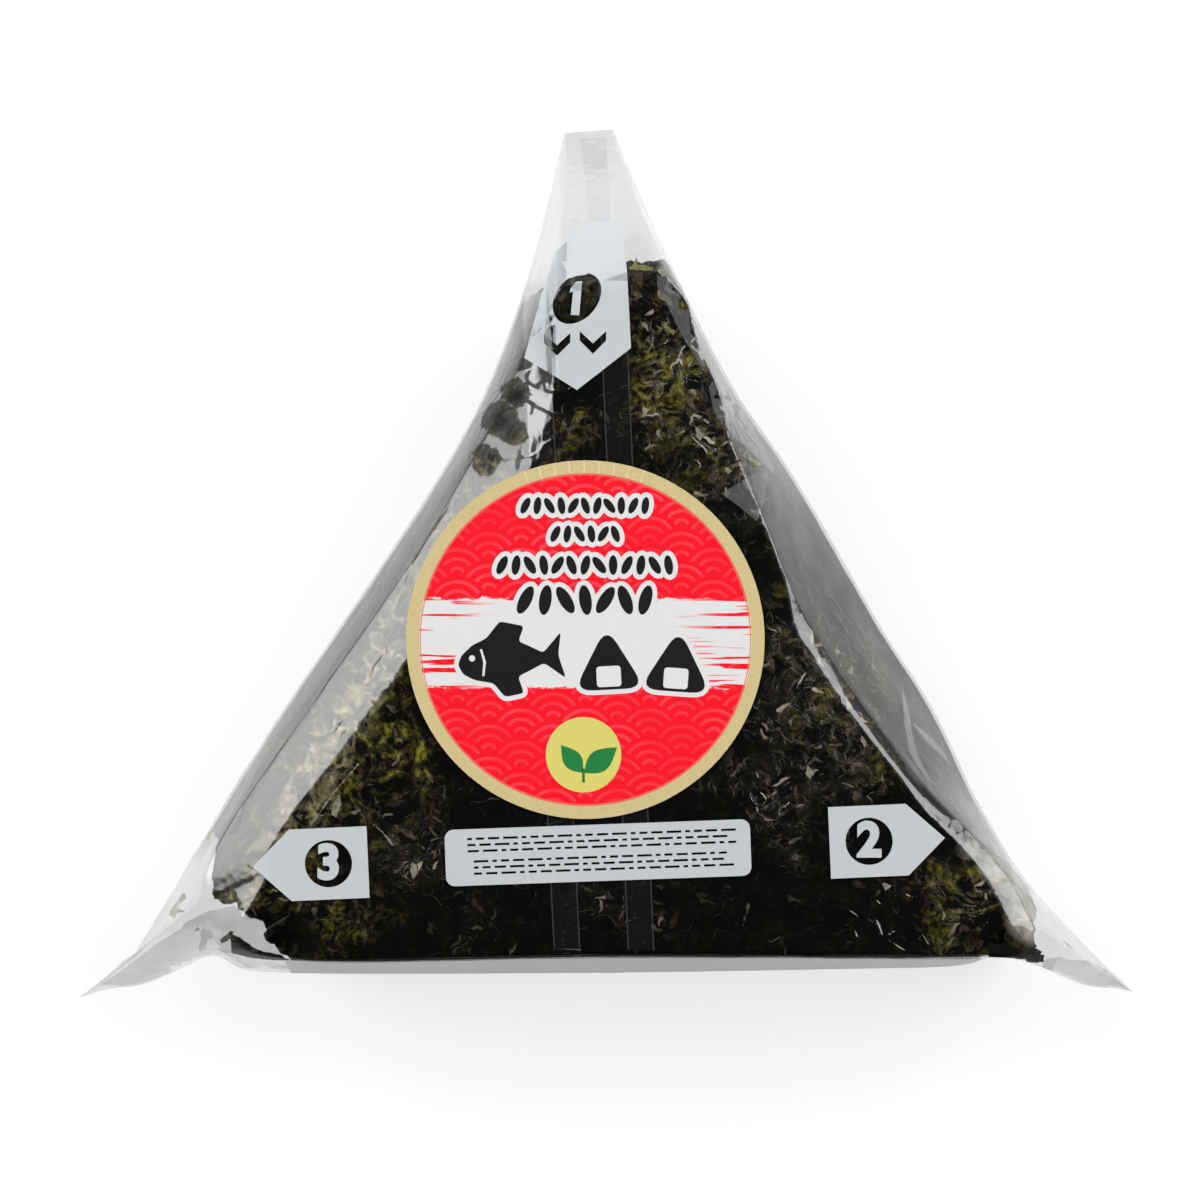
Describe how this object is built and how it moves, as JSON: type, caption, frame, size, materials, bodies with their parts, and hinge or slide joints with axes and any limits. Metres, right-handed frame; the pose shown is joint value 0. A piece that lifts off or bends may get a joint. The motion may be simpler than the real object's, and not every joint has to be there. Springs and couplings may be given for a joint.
{
  "type": "onigiri rice ball",
  "caption": "Triangular rice ball wrapped in seaweed and sealed in clear film, lying on its back, with a pull tab, folded ears and a round paper label.",
  "frame": {"origin": "middle of the pack's outline, on the surface that its flat back lies on", "axes": "+X to the right along the base, +Y towards the pull tab, +Z out of the front face with the label"},
  "size_m": [0.1149, 0.0945, 0.0322],
  "materials": {
    "film_over_seaweed": "glossy clear film close over near-black seaweed",
    "seaweed": "near-black pressed seaweed sheet with olive mottling and fine fibres",
    "rice": "moist white cooked rice, seen as a grey-white surface through a tear in the seaweed",
    "clear_film": "thin clear glossy film with creases",
    "label_paper": "satin printed paper in red and white with a gold ring",
    "white_print": "opaque white ink printed on the film"
  },
  "bodies": {
    "root": {"film_pack": "film_over_seaweed", "round_label": "label_paper"}
  },
  "joints": []
}
